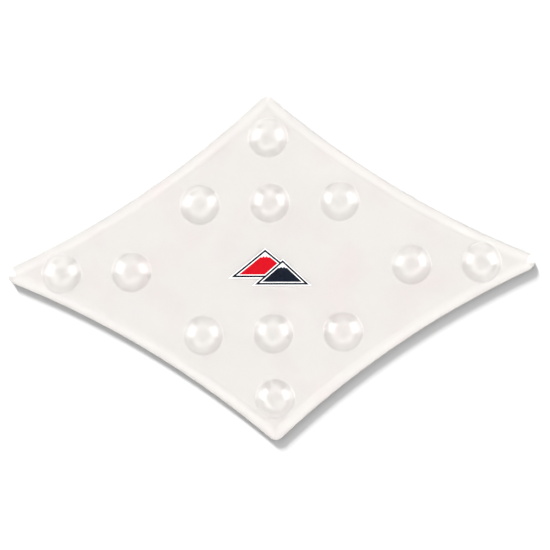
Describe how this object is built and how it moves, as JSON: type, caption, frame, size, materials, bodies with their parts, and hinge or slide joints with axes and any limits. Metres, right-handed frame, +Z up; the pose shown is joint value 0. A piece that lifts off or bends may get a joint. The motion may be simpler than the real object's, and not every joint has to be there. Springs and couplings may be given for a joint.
{
  "type": "snowboard stomp pad",
  "caption": "Diamond-shaped clear stomp pad with inward-curved sides, domed grip studs, a small printed badge, and adhesive film under a split release liner.",
  "frame": {"origin": "centre of the release liner's underside, the face that the pad lies on", "axes": "+X towards one long tip of the diamond, +Y towards one short tip, +Z up out of the studded deck"},
  "size_m": [0.151, 0.0984, 0.0063],
  "materials": {
    "clear_sheet": "clear moulded thermoplastic polyurethane, glossy, with a very slight warm haze",
    "badge_white": "white vinyl label film",
    "badge_navy": "dark navy screen-printed ink",
    "badge_red": "bright red screen-printed ink",
    "adhesive": "hazy clear acrylic adhesive film",
    "liner_paper": "white siliconised release paper, satin"
  },
  "bodies": {
    "pad": {"stud_sheet": "clear_sheet", "badge_film": "badge_white", "badge_border": "badge_navy", "badge_back_peak": "badge_red", "badge_front_peak": "badge_navy", "adhesive_film": "adhesive"},
    "liner_left_half": {"liner_left": "liner_paper"},
    "liner_right_half": {"liner_right": "liner_paper"}
  },
  "joints": [
    {"name": "liner_left_peel", "type": "slide", "parent": "pad", "child": "liner_left_half", "axis": [-1, 0, 0], "range_m": [0, 0.08]},
    {"name": "liner_right_peel", "type": "slide", "parent": "pad", "child": "liner_right_half", "axis": [1, 0, 0], "range_m": [0, 0.08]}
  ]
}
